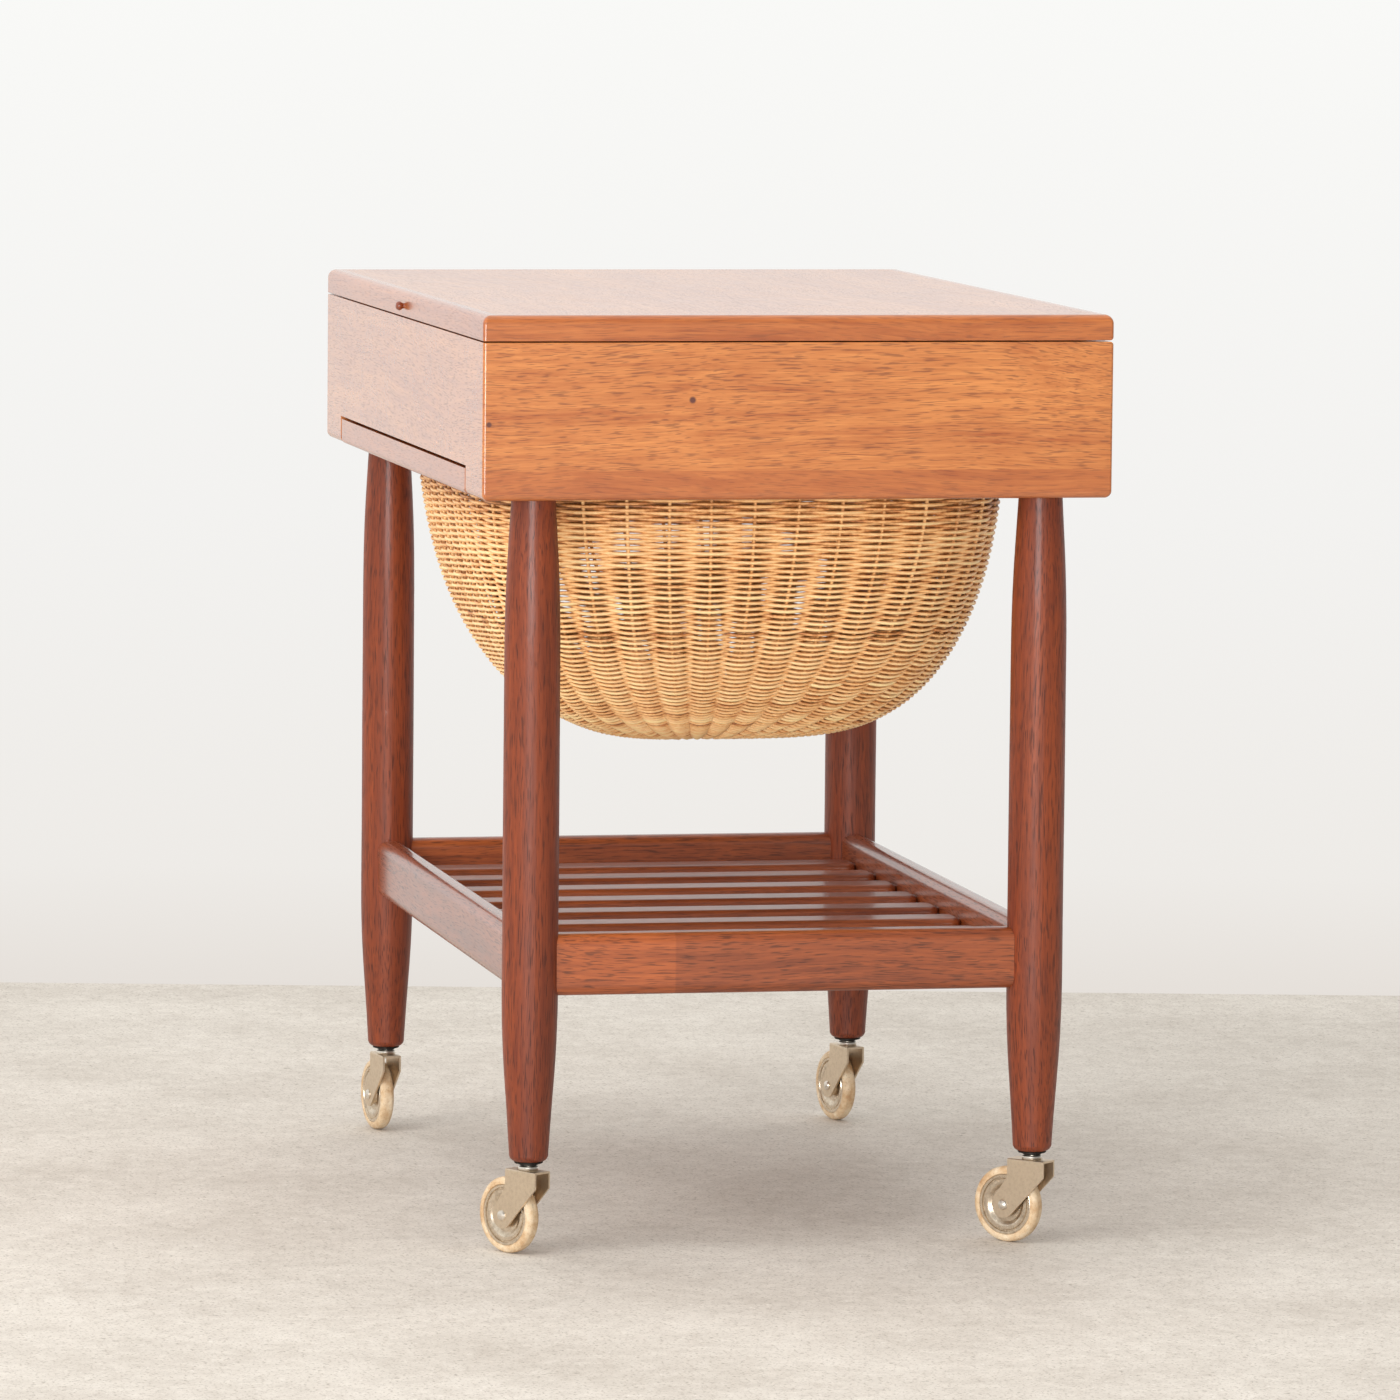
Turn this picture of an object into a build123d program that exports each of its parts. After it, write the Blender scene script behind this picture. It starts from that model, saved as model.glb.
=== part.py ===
from build123d import *
import math
import os

os.makedirs("parts", exist_ok=True)

# Sewing table on casters: a veneered teak case with a hinged lid, a woven cane
# basket that hangs in a sliding frame under the case, four turned legs, a
# slatted shelf and four swivel casters.
# Frame: millimetres, +Z up, origin on the floor under the middle of the case.
# -Y is the user's front (lid pull, basket frame), +Y is the hinge side.

# ---------------------------------------------------------------- dimensions
# Heights of the wooden table itself are given with the legs' undersides at
# LEG_Z0 = 60. The casters stand CASTER_H high, so the whole table is raised by
# LIFT at the end, and its lid top is then 612.3 above the floor. The casters'
# own heights are true heights above the floor.
CASTER_H = 62.3         # floor to the legs' undersides
LENGTH = 620.0          # along X
DEPTH = 415.0           # along Y
HEIGHT = 610.0          # lid top
LID_Z0 = 593.4          # underside of the lid
CASE_Z0 = 491.0         # underside of the case
CASE_Z1 = 592.6         # top edge of the case walls
WALL = 16.0             # case wall thickness
LIPPING_Z = 510.0       # seam between end panel and its solid bottom lipping
EDGE_R = 4.5            # rounding of the lower outer edge of the case
CORNER_R = 2.0          # rounding of the vertical corners
LID_R = 5.5             # rounding of the lid's upper edge
SEAM_R = 0.6            # easing along the seam on three sides
HINGE_EDGE_R = 3.0      # rounding along the seam on the hinge side
LID_LIP = 10.0          # width of the lid's solid lippings
FLOOR_Z0, FLOOR_Z1 = 512.0, 518.0   # plywood floor of the compartment

LEG_X, LEG_Y = 277.0, 168.0         # leg axes
LEG_Z0 = 60.0
LIFT = CASTER_H - LEG_Z0
LEG_PROFILE = [  # (radius, height)
    (12.8, 65.0), (13.3, 73.0), (14.6, 92.7), (16.05, 112.7), (17.3, 132.7),
    (18.05, 153.0), (18.25, 200.0), (18.25, 290.0), (18.15, 370.0),
    (17.85, 416.0), (16.65, 449.5), (14.8, 482.0), (14.3, 491.0),
]
TENON_R = 9.0
BLOCK_X0 = 258.0        # inner side of the corner blocks
BLOCK_Y0 = 144.0

RAIL_Z0, RAIL_Z1 = 168.0, 208.0     # shelf rails
RAIL_T = 18.0
RAIL_R = 7.0
SLAT_W, SLAT_T, SLAT_Z = 30.0, 9.0, 188.5
SLAT_X = [-225.75, -161.25, -96.75, -32.25, 32.25, 96.75, 161.25, 225.75]

FRAME_X = 248.2         # half width of the basket frame
FRAME_Z0, FRAME_Z1 = 491.0, 508.0
FRAME_Y0, FRAME_Y1 = -207.5, 191.0
NOTCH_X = 248.9         # half width of the notch in the front wall
RABBET_Z = 499.5        # underside of the lip that the basket rim is fixed to
RUNNER_X0 = 249.6
TONGUE_X0 = 243.2
TONGUE_Z0, TONGUE_Z1 = 497.0, 502.0

# Outer form of the woven basket, rim to base:
# (height, half length in X, front Y, rear Y, corner radius)
BASKET = [
    (499.5, 221.0, -181.0, 185.0, 104.0),
    (474.0, 218.4, -179.4, 183.6, 104.0),
    (448.5, 211.0, -175.4, 180.4, 103.0),
    (421.5, 199.4, -168.6, 174.8, 102.0),
    (395.0, 183.4, -159.2, 167.0, 99.0),
    (370.5, 163.2, -146.8, 156.4, 92.0),
    (348.8, 139.2, -131.4, 142.6, 84.0),
    (331.0, 112.0, -112.4, 125.0, 74.0),
    (318.0, 84.0, -88.0, 101.0, 62.0),
    (309.6, 58.0, -63.0, 74.0, 48.0),
]
BASKET_T = 5.0          # thickness of the woven wall

TRAY_X0, TRAY_X1 = -293.2, -93.2
TRAY_Y = 190.9
TRAY_Z0, TRAY_Z1 = 558.4, 586.0
TRAY_T = 6.0
LEDGE_Z0, LEDGE_Z1 = 550.0, 558.0

HINGE_X = [-190.0, 190.0]
HINGE_Y, HINGE_Z = 210.4, 593.0
KNUCKLE_R, PIN_R = 2.6, 1.2
LEAF_HALF, KNUCKLE_HALF = 25.0, 8.35
LEAF_T = 1.5

PULL_X, PULL_Z = 9.0, 600.6

WHEEL_R = 25.0
TRAIL = 18.0            # wheel axle behind the swivel axis
TYRE_W = 9.6
FORK_W = 13.5
FORK_T = 1.3
FORK_U0, FORK_U1 = -13.3, 14.9       # fork plate, along the trailing direction
PLATE_Z0, PLATE_Z1 = 54.9, 56.3
STEM_R = 4.0
CASTERS = {             # name: (leg x sign, leg y sign, trailing direction in degrees)
    "front_right": (1, -1, -147.5),
    "rear_right": (1, 1, -137.5),
    "front_left": (-1, -1, -170.5),
    "rear_left": (-1, 1, -166.0),
}

nodes = {}


def box(x0, x1, y0, y1, z0, z1):
    return Pos((x0 + x1) / 2, (y0 + y1) / 2, (z0 + z1) / 2) * Box(
        x1 - x0, y1 - y0, z1 - z0
    )


def cyl(x, y, z0, z1, r):
    return Pos(x, y, (z0 + z1) / 2) * Cylinder(r, z1 - z0)


def prism(points, z0, z1):
    face = make_face(Polyline(*[(x, y) for x, y in points], close=True))
    return Pos(0, 0, z0) * extrude(face, amount=z1 - z0)


def turned(points):
    """A solid of revolution about Z from (radius, height) corner points."""
    face = make_face(Polyline(*[(r, 0, z) for r, z in points], close=True))
    return revolve(face, Axis.Z, 360)


def group(items):
    return Compound(children=list(items))


# --------------------------------------------------------------------- case
shell = box(-LENGTH / 2, LENGTH / 2, -DEPTH / 2, DEPTH / 2, CASE_Z0, CASE_Z1)
shell = fillet(shell.edges().filter_by(Axis.Z), CORNER_R)
shell = fillet(shell.faces().sort_by(Axis.Z)[0].edges(), EDGE_R)
shell = fillet(shell.faces().sort_by(Axis.Z)[-1].edges(), SEAM_R)


def seam_rounding(z_seam, up):
    """What is cut away to round the hinge-side edge at the seam (up: the lid's edge)."""
    zc = z_seam + HINGE_EDGE_R if up else z_seam - HINGE_EDGE_R
    yc = DEPTH / 2 - HINGE_EDGE_R
    bar = box(-LENGTH, LENGTH, yc, DEPTH / 2 + 1, min(zc, z_seam) - (1 if up else 0),
              max(zc, z_seam) + (0 if up else 1))
    return bar - Pos(0, yc, zc) * Rot(0, 90, 0) * Cylinder(HINGE_EDGE_R, 3 * LENGTH)


shell -= seam_rounding(CASE_Z1, False)
IX, IY = LENGTH / 2 - WALL, DEPTH / 2 - WALL
ring = shell - box(-IX, IX, -IY, IY, CASE_Z0 - 5, CASE_Z1 + 5)

OX, OY, K = LENGTH / 2 + 5, DEPTH / 2 + 5, WALL + 5
front_zone = prism([(-OX, -OY), (OX, -OY), (OX - K, -OY + K), (-OX + K, -OY + K)], 480, 600)
rear_zone = prism([(-OX, OY), (-OX + K, OY - K), (OX - K, OY - K), (OX, OY)], 480, 600)
left_zone = prism([(-OX, -OY), (-OX + K, -OY + K), (-OX + K, OY - K), (-OX, OY)], 480, 600)
right_zone = prism([(OX, -OY), (OX, OY), (OX - K, OY - K), (OX - K, -OY + K)], 480, 600)

front_wall = (ring & front_zone) - box(-NOTCH_X, NOTCH_X, -DEPTH, 0, CASE_Z0 - 5, LIPPING_Z)
rear_wall = ring & rear_zone
left_end = ring & left_zone
right_end = ring & right_zone

# Mortises and screw holes for the hinges in the rear wall's top edge
screw_x = [-18.0, 0.0, 18.0]
case_screws, lid_screws = [], []
for hx in HINGE_X:
    rear_wall -= box(hx - LEAF_HALF, hx + LEAF_HALF, 192.5, 208.5,
                     CASE_Z1 - LEAF_T, CASE_Z1 + 1)
    for sx in screw_x:
        c = cyl(hx + sx, 199.5, CASE_Z1 - 14.0, CASE_Z1 - LEAF_T, 1.4)
        c += Pos(hx + sx, 199.5, CASE_Z1 - LEAF_T / 2) * Cone(1.4, 2.8, LEAF_T)
        case_screws.append(c)
        rear_wall -= cyl(hx + sx, 199.5, CASE_Z1 - 14.0, CASE_Z1, 1.4)

nodes["case_front_wall"] = front_wall
nodes["case_rear_wall"] = rear_wall
nodes["case_left_end"] = left_end & box(-400, 0, -300, 300, LIPPING_Z, 620)
nodes["case_right_end"] = right_end & box(0, 400, -300, 300, LIPPING_Z, 620)
nodes["end_lippings"] = group([
    left_end & box(-400, 0, -300, 300, 480, LIPPING_Z),
    right_end & box(0, 400, -300, 300, 480, LIPPING_Z),
])
nodes["case_floor"] = box(-IX, IX, -IY, IY, FLOOR_Z0, FLOOR_Z1)

# ------------------------------------------------------- legs and leg blocks
leg_curve = Spline(*[(r, 0, z) for r, z in LEG_PROFILE])
leg_face = make_face([
    leg_curve,
    Line((14.3, 0, CASE_Z0), (TENON_R, 0, CASE_Z0)),
    Line((TENON_R, 0, CASE_Z0), (TENON_R, 0, CASE_Z0 + 17)),
    Line((TENON_R, 0, CASE_Z0 + 17), (0, 0, CASE_Z0 + 17)),
    Line((0, 0, CASE_Z0 + 17), (0, 0, LEG_Z0)),
    Line((0, 0, LEG_Z0), (9.6, 0, LEG_Z0)),
    ThreePointArc((9.6, 0, LEG_Z0), (12.0, 0, 61.8), (12.8, 0, 65.0)),
])
leg_solid = revolve(leg_face, Axis.Z, 360)

TEN_T, TEN_H = 8.0, 28.0
TEN_END = 6.5
blocks, sockets = [], []
leg_at, leg_plain = {}, {}
for name, (sx, sy, _psi) in CASTERS.items():
    x, y = sx * LEG_X, sy * LEG_Y
    plain = Pos(x, y, 0) * leg_solid
    leg_plain[name] = plain
    ztm = (RAIL_Z0 + RAIL_Z1) / 2
    tx = box(min(x - sx * TEN_END, x - sx * 30), max(x - sx * TEN_END, x - sx * 30),
             y - TEN_T / 2, y + TEN_T / 2, ztm - TEN_H / 2, ztm + TEN_H / 2)
    ty = box(x - TEN_T / 2, x + TEN_T / 2,
             min(y - sy * TEN_END, y - sy * 30), max(y - sy * TEN_END, y - sy * 30),
             ztm - TEN_H / 2, ztm + TEN_H / 2)
    leg = plain - tx - ty - cyl(x, y, LEG_Z0 - 1, LEG_Z0 + 36, 5.5)
    leg_at[name] = leg
    nodes["leg_" + name] = leg
    block = box(min(sx * BLOCK_X0, sx * IX), max(sx * BLOCK_X0, sx * IX),
                min(sy * BLOCK_Y0, sy * IY), max(sy * BLOCK_Y0, sy * IY),
                CASE_Z0 + 0.5, FLOOR_Z0)
    block -= cyl(x, y, CASE_Z0 - 1, CASE_Z0 + 17, TENON_R)
    block -= cyl(x, y, CASE_Z0 - 1, CASE_Z0 + 0.5, 14.3)
    blocks.append(block)
    # blackened steel socket: flange, neck and sleeve with a blind bore
    s = turned([(STEM_R + 0.07, 57.3), (5.6, 57.3), (6.2, 57.7), (6.2, 58.4),
                (8.9, 58.6), (9.4, 59.0), (9.4, 59.5), (8.6, LEG_Z0), (5.5, LEG_Z0),
                (5.5, LEG_Z0 + 36), (0, LEG_Z0 + 36), (0, LEG_Z0 + 34),
                (STEM_R + 0.07, LEG_Z0 + 34)])
    sockets.append(Pos(x, y, 0) * s)
nodes["leg_blocks"] = group(blocks)
nodes["caster_sockets"] = group(sockets)

# ------------------------------------------------------------------- shelf
def rail(along, half, offset):
    if along == "x":
        r = box(-half, half, offset - RAIL_T / 2, offset + RAIL_T / 2, RAIL_Z0, RAIL_Z1)
        r = fillet(r.edges().filter_by(Axis.X), RAIL_R)
    else:
        r = box(offset - RAIL_T / 2, offset + RAIL_T / 2, -half, half, RAIL_Z0, RAIL_Z1)
        r = fillet(r.edges().filter_by(Axis.Y), RAIL_R)
    return r


ZM = (RAIL_Z0 + RAIL_Z1) / 2
rails = {
    "shelf_rail_front": (rail("x", LEG_X, -LEG_Y), ["front_left", "front_right"],
                         box(-LEG_X + TEN_END, LEG_X - TEN_END, -LEG_Y - TEN_T / 2,
                             -LEG_Y + TEN_T / 2, ZM - TEN_H / 2, ZM + TEN_H / 2)),
    "shelf_rail_rear": (rail("x", LEG_X, LEG_Y), ["rear_left", "rear_right"],
                        box(-LEG_X + TEN_END, LEG_X - TEN_END, LEG_Y - TEN_T / 2,
                            LEG_Y + TEN_T / 2, ZM - TEN_H / 2, ZM + TEN_H / 2)),
    "shelf_rail_left": (rail("y", LEG_Y, -LEG_X), ["front_left", "rear_left"],
                        box(-LEG_X - TEN_T / 2, -LEG_X + TEN_T / 2, -LEG_Y + TEN_END,
                            LEG_Y - TEN_END, ZM - TEN_H / 2, ZM + TEN_H / 2)),
    "shelf_rail_right": (rail("y", LEG_Y, LEG_X), ["front_right", "rear_right"],
                         box(LEG_X - TEN_T / 2, LEG_X + TEN_T / 2, -LEG_Y + TEN_END,
                             LEG_Y - TEN_END, ZM - TEN_H / 2, ZM + TEN_H / 2)),
}
SLAT_TEN_W, SLAT_TEN_T, SLAT_TEN_L = 15.0, 6.0, 9.0
SLAT_Y = LEG_Y - RAIL_T / 2
slats, slat_tenons = [], []
for sx in SLAT_X:
    s = box(sx - SLAT_W / 2, sx + SLAT_W / 2, -SLAT_Y, SLAT_Y,
            SLAT_Z - SLAT_T / 2, SLAT_Z + SLAT_T / 2)
    s = fillet(s.edges().filter_by(Axis.Z), 8.0)
    s = fillet(s.faces().sort_by(Axis.Z)[-1].edges(), 3.8)
    s = fillet(s.faces().sort_by(Axis.Z)[0].edges(), 3.8)
    t = box(sx - SLAT_TEN_W / 2, sx + SLAT_TEN_W / 2, -SLAT_Y - SLAT_TEN_L,
            SLAT_Y + SLAT_TEN_L, SLAT_Z - SLAT_TEN_T / 2, SLAT_Z + SLAT_TEN_T / 2)
    t = fillet(t.edges().filter_by(Axis.Y), 2.9)
    slats.append(s + t)
    slat_tenons.append(t)
nodes["shelf_slats"] = group(slats)
for name, (body, ends, tenon) in rails.items():
    # the rail stops at the leg's round face; only its tenon enters the leg
    for e in ends:
        body -= leg_plain[e]
    body = max(body.solids(), key=lambda q: q.volume)
    body = body + tenon
    if name in ("shelf_rail_front", "shelf_rail_rear"):
        for t in slat_tenons:
            body -= t
    nodes[name] = body

# ------------------------------------------------------------ compartment fit-out
nodes["tray_ledges"] = group([
    box(-IX, IX, -IY, -IY + 7, LEDGE_Z0, LEDGE_Z1),
    box(-IX, IX, IY - 7, IY, LEDGE_Z0, LEDGE_Z1),
])
DIV_Z1 = 548.0
nodes["compartment_dividers"] = group([
    box(-93.0, -87.0, -IY, IY, FLOOR_Z1, DIV_Z1),
    box(127.0, 133.0, -IY, IY, FLOOR_Z1, DIV_Z1),
    box(-87.0, 127.0, -3.0, 3.0, FLOOR_Z1, DIV_Z1),
])
nodes["spool_rail"] = box(202.0, 226.0, -180.0, 180.0, FLOOR_Z1, FLOOR_Z1 + 8)
pegs = []
for py in (-150.0, -90.0, -30.0, 30.0, 90.0, 150.0):
    peg = turned([(0, FLOOR_Z1 + 2), (2.5, FLOOR_Z1 + 2), (2.5, FLOOR_Z1 + 28.5),
                  (1.7, FLOOR_Z1 + 30), (0, FLOOR_Z1 + 30)])
    pegs.append(Pos(214.0, py, 0) * peg)
    nodes["spool_rail"] -= cyl(214.0, py, FLOOR_Z1 + 2, FLOOR_Z1 + 9, 2.5)
nodes["spool_pegs"] = group(pegs)

nodes["tray_long_sides"] = group([
    box(TRAY_X0, TRAY_X0 + TRAY_T, -TRAY_Y, TRAY_Y, TRAY_Z0, TRAY_Z1),
    box(TRAY_X1 - TRAY_T, TRAY_X1, -TRAY_Y, TRAY_Y, TRAY_Z0, TRAY_Z1),
])
nodes["tray_short_sides"] = group([
    box(TRAY_X0 + TRAY_T, TRAY_X1 - TRAY_T, -TRAY_Y, -TRAY_Y + TRAY_T, TRAY_Z0, TRAY_Z1),
    box(TRAY_X0 + TRAY_T, TRAY_X1 - TRAY_T, TRAY_Y - TRAY_T, TRAY_Y, TRAY_Z0, TRAY_Z1),
])
nodes["tray_bottom"] = box(TRAY_X0 + TRAY_T, TRAY_X1 - TRAY_T, -TRAY_Y + TRAY_T,
                           TRAY_Y - TRAY_T, TRAY_Z0 + 0.4, TRAY_Z0 + 4.4)

# --------------------------------------------------------------------- lid
lid = box(-LENGTH / 2, LENGTH / 2, -DEPTH / 2, DEPTH / 2, LID_Z0, HEIGHT)
lid = fillet(lid.edges().filter_by(Axis.Z), CORNER_R)
lid = fillet(lid.faces().sort_by(Axis.Z)[-1].edges(), LID_R)
lid = fillet(lid.faces().sort_by(Axis.Z)[0].edges(), SEAM_R)
lid -= seam_rounding(LID_Z0, True)
PX, PY = LENGTH / 2 - LID_LIP, DEPTH / 2 - LID_LIP
panel = box(-PX, PX, -PY, PY, LID_Z0, HEIGHT)
lid_ring = lid - box(-PX, PX, -PY, PY, LID_Z0 - 1, HEIGHT + 1)
Q = LID_LIP + 5
z0, z1 = 590, 612
lip_front = lid_ring & prism([(-OX, -OY), (OX, -OY), (OX - Q, -OY + Q), (-OX + Q, -OY + Q)], z0, z1)
lip_rear = lid_ring & prism([(-OX, OY), (-OX + Q, OY - Q), (OX - Q, OY - Q), (OX, OY)], z0, z1)
lip_left = lid_ring & prism([(-OX, -OY), (-OX + Q, -OY + Q), (-OX + Q, OY - Q), (-OX, OY)], z0, z1)
lip_right = lid_ring & prism([(OX, -OY), (OX, OY), (OX - Q, OY - Q), (OX - Q, -OY + Q)], z0, z1)

# Hinges: brass butts let into both edges, knuckle just outside the rear face
case_leaves, lid_leaves, pins = [], [], []


def knuckle(x0, x1, bore):
    k = Pos((x0 + x1) / 2, HINGE_Y, HINGE_Z) * Rot(0, 90, 0) * Cylinder(KNUCKLE_R, x1 - x0)
    return k - Pos((x0 + x1) / 2, HINGE_Y, HINGE_Z) * Rot(0, 90, 0) * Cylinder(bore, x1 - x0 + 2)


for hx in HINGE_X:
    a, b, c, d = hx - LEAF_HALF, hx - KNUCKLE_HALF, hx + KNUCKLE_HALF, hx + LEAF_HALF
    low = box(a, d, 192.5, 207.4, CASE_Z1 - LEAF_T, CASE_Z1)
    for p, q in ((a, b), (c, d)):
        arm = box(p, q, 207.4, HINGE_Y, CASE_Z1 - LEAF_T, CASE_Z1)
        arm -= Pos((p + q) / 2, HINGE_Y, HINGE_Z) * Rot(0, 90, 0) * Cylinder(KNUCKLE_R - 0.6, q - p)
        low = low + arm + knuckle(p, q, PIN_R)
    for sx in screw_x:
        low -= Pos(hx + sx, 199.5, CASE_Z1 - LEAF_T / 2) * Cone(1.4, 2.8, LEAF_T)
    case_leaves.append(low)
    top = box(a, d, 192.5, 207.4, LID_Z0, LID_Z0 + LEAF_T)
    m0, m1 = hx - KNUCKLE_HALF + 0.3, hx + KNUCKLE_HALF - 0.3
    arm = box(m0, m1, 207.4, HINGE_Y, LID_Z0, LID_Z0 + LEAF_T)
    arm -= Pos(hx, HINGE_Y, HINGE_Z) * Rot(0, 90, 0) * Cylinder(KNUCKLE_R - 0.6, m1 - m0)
    top = top + arm + knuckle(m0, m1, PIN_R + 0.07)
    panel -= box(a, d, 192.5, 208.5, LID_Z0 - 1, LID_Z0 + LEAF_T)
    lip_rear -= box(a, d, 192.5, 208.5, LID_Z0 - 1, LID_Z0 + LEAF_T)
    for sx in screw_x:
        head = Pos(hx + sx, 199.5, LID_Z0 + LEAF_T / 2) * Cone(2.8, 1.4, LEAF_T)
        shank = cyl(hx + sx, 199.5, LID_Z0 + LEAF_T, LID_Z0 + 12.0, 1.4)
        top -= head
        lid_screws.append(head + shank)
        lip_rear -= shank
        panel -= shank
    lid_leaves.append(top)
    pins.append(Pos(hx, HINGE_Y, HINGE_Z) * Rot(0, 90, 0) * Cylinder(PIN_R, 2 * LEAF_HALF))

# Turned pull with a dowel that enters the front lipping
pull = make_face([
    Line((0, 8), (1.6, 8)), Line((1.6, 8), (1.6, 0)), Line((1.6, 0), (2.0, 0)),
    Spline((2.0, 0), (1.9, -0.8), (2.5, -1.7), (3.1, -3.1), (2.5, -4.8), (0, -5.5)),
    Line((0, -5.5), (0, 8)),
])
pull = revolve(pull, Axis.Y, 360)
pull = Pos(PULL_X, -DEPTH / 2, PULL_Z) * pull
lip_front -= Pos(PULL_X, -DEPTH / 2 + 4, PULL_Z) * Rot(90, 0, 0) * Cylinder(1.6, 8)

nodes["lid_panel"] = panel
nodes["lid_lipping_front"] = lip_front
nodes["lid_lipping_rear"] = lip_rear
nodes["lid_lipping_ends"] = group([lip_left, lip_right])
nodes["lid_pull"] = pull
nodes["hinge_case_leaves"] = group(case_leaves)
nodes["hinge_lid_leaves"] = group(lid_leaves)
nodes["hinge_pins"] = group(pins)
nodes["hinge_case_screws"] = group(case_screws)
nodes["hinge_lid_screws"] = group(lid_screws)

# --------------------------------------------------------- basket and its frame
FRONT_BACK = -183.4      # back of the front rail's lower part
strip = box(-FRAME_X, FRAME_X, FRAME_Y0, FRONT_BACK, FRAME_Z0, FRAME_Z1)
corner = [e for e in strip.edges().filter_by(Axis.Y) if e.center().Z < 495]
strip = fillet(corner, 5.0)
low_front = [e for e in strip.edges()
             if e.center().Y < FRAME_Y0 + 0.01 and e.center().Z < FRAME_Z0 + 6
             and e.length > 1 and not (abs(abs(e.center().X) - FRAME_X) < 1e-3)]
strip = fillet(low_front, 3.2)
strip += box(-211.5, 211.5, FRONT_BACK, -170.0, RABBET_Z, FRAME_Z1)
nodes["basket_frame_front"] = strip
for side, s in (("left", -1), ("right", 1)):
    r = box(min(s * 211.5, s * 248.0), max(s * 211.5, s * 248.0), FRONT_BACK, FRAME_Y1,
            FRAME_Z0, FRAME_Z1)
    r -= box(min(s * 200, s * 223.5), max(s * 200, s * 223.5), FRONT_BACK - 1, 187.5,
             FRAME_Z0 - 1, RABBET_Z)
    r -= box(min(s * 242.6, s * 250), max(s * 242.6, s * 250), FRONT_BACK - 1,
             FRAME_Y1 + 1, TONGUE_Z0 - 0.4, TONGUE_Z1 + 0.4)
    nodes["basket_frame_" + side] = r
rear = box(-211.5, 211.5, 174.0, FRAME_Y1, FRAME_Z0, FRAME_Z1)
rear -= box(-220, 220, 170.0, 187.5, FRAME_Z0 - 1, RABBET_Z)
nodes["basket_frame_rear"] = rear

runners = []
for s in (-1, 1):
    q = box(min(s * RUNNER_X0, s * BLOCK_X0), max(s * RUNNER_X0, s * BLOCK_X0), -IY, IY,
            CASE_Z0 + 0.5, FLOOR_Z0)
    q += box(min(s * TONGUE_X0, s * RUNNER_X0), max(s * TONGUE_X0, s * RUNNER_X0),
             FRONT_BACK + 1.0, IY, TONGUE_Z0, TONGUE_Z1)
    runners.append(q)
nodes["basket_runners"] = group(runners)


def bowl(inset, top):
    sections = []
    for i, (z, a, yf, yr, r) in enumerate(BASKET):
        zz = z
        if inset and i == len(BASKET) - 1:
            zz = z + inset * 0.9
        if i == 0:
            zz = top
        w, d = 2 * (a - inset), (yr - yf) - 2 * inset
        rr = min(r - inset * 0.6, w / 2 - 1, d / 2 - 1)
        sections.append(
            Pos(0, (yf + yr) / 2, zz) * RectangleRounded(w, d, rr).face()
        )
    return loft(sections)


outer = bowl(0, RABBET_Z)
inner_sections = []
for i, (z, a, yf, yr, r) in enumerate(BASKET[:-1]):
    zz = RABBET_Z + 3 if i == 0 else z + (BASKET_T * 0.35 * (i / 8.0) ** 2)
    t = BASKET_T + 5.0 * (i / 8.0) ** 3
    w, d = 2 * (a - t), (yr - yf) - 2 * t
    rr = min(r - t * 0.6, w / 2 - 1, d / 2 - 1)
    inner_sections.append(Pos(0, (yf + yr) / 2, zz) * RectangleRounded(w, d, rr).face())
inner = loft(inner_sections)
nodes["basket"] = outer - inner

# ----------------------------------------------------------------- casters
AX_Z = WHEEL_R
CH = FORK_W / 2
cheek_r = 8.6


def fork_solid():
    plate = box(FORK_U0, FORK_U1, -CH, CH, PLATE_Z0, PLATE_Z1)
    # cheek outline in the (u, z) plane, rounded about the axle
    zf, zr = 45.3, 42.4
    a1 = math.atan2(zf - AX_Z, FORK_U0 - TRAIL)
    d1 = math.hypot(zf - AX_Z, FORK_U0 - TRAIL)
    t1 = a1 + math.acos(cheek_r / d1)
    p1 = (TRAIL + cheek_r * math.cos(t1), AX_Z + cheek_r * math.sin(t1))
    ur = FORK_U1 + 1.0
    a2 = math.atan2(zr - AX_Z, ur - TRAIL)
    d2 = math.hypot(zr - AX_Z, ur - TRAIL)
    t2 = a2 - math.acos(cheek_r / d2)
    p2 = (TRAIL + cheek_r * math.cos(t2), AX_Z + cheek_r * math.sin(t2))
    # lower arc runs from p1 round below and behind the axle to p2
    tm = (t1 + (t2 + 2 * math.pi if t2 < t1 else t2)) / 2
    pm = (TRAIL + cheek_r * math.cos(tm), AX_Z + cheek_r * math.sin(tm))
    outline = make_face([
        Line((FORK_U0, 0, PLATE_Z1), (FORK_U0, 0, zf)),
        Line((FORK_U0, 0, zf), (p1[0], 0, p1[1])),
        ThreePointArc((p1[0], 0, p1[1]), (pm[0], 0, pm[1]), (p2[0], 0, p2[1])),
        Line((p2[0], 0, p2[1]), (ur, 0, zr)),
        Line((ur, 0, zr), (FORK_U1, 0, zr + 3)),
        Line((FORK_U1, 0, zr + 3), (FORK_U1, 0, PLATE_Z1)),
        Line((FORK_U1, 0, PLATE_Z1), (FORK_U0, 0, PLATE_Z1)),
    ])
    cheek = extrude(outline, amount=FORK_T / 2, both=True)
    f = plate + Pos(0, CH - FORK_T / 2, 0) * cheek + Pos(0, -CH + FORK_T / 2, 0) * cheek
    top = [e for e in f.edges().filter_by(Axis.X)
           if abs(e.center().Z - PLATE_Z1) < 1e-3 and abs(abs(e.center().Y) - CH) < 1e-3]
    f = fillet(top, 1.0)
    f -= cyl(0, 0, PLATE_Z0 - 1, PLATE_Z1 + 1, 3.0)
    f -= Pos(TRAIL, 0, AX_Z) * Rot(90, 0, 0) * Cylinder(2.5, 40)
    return f


fork = fork_solid()
P0, P1 = PLATE_Z0, PLATE_Z1
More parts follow.
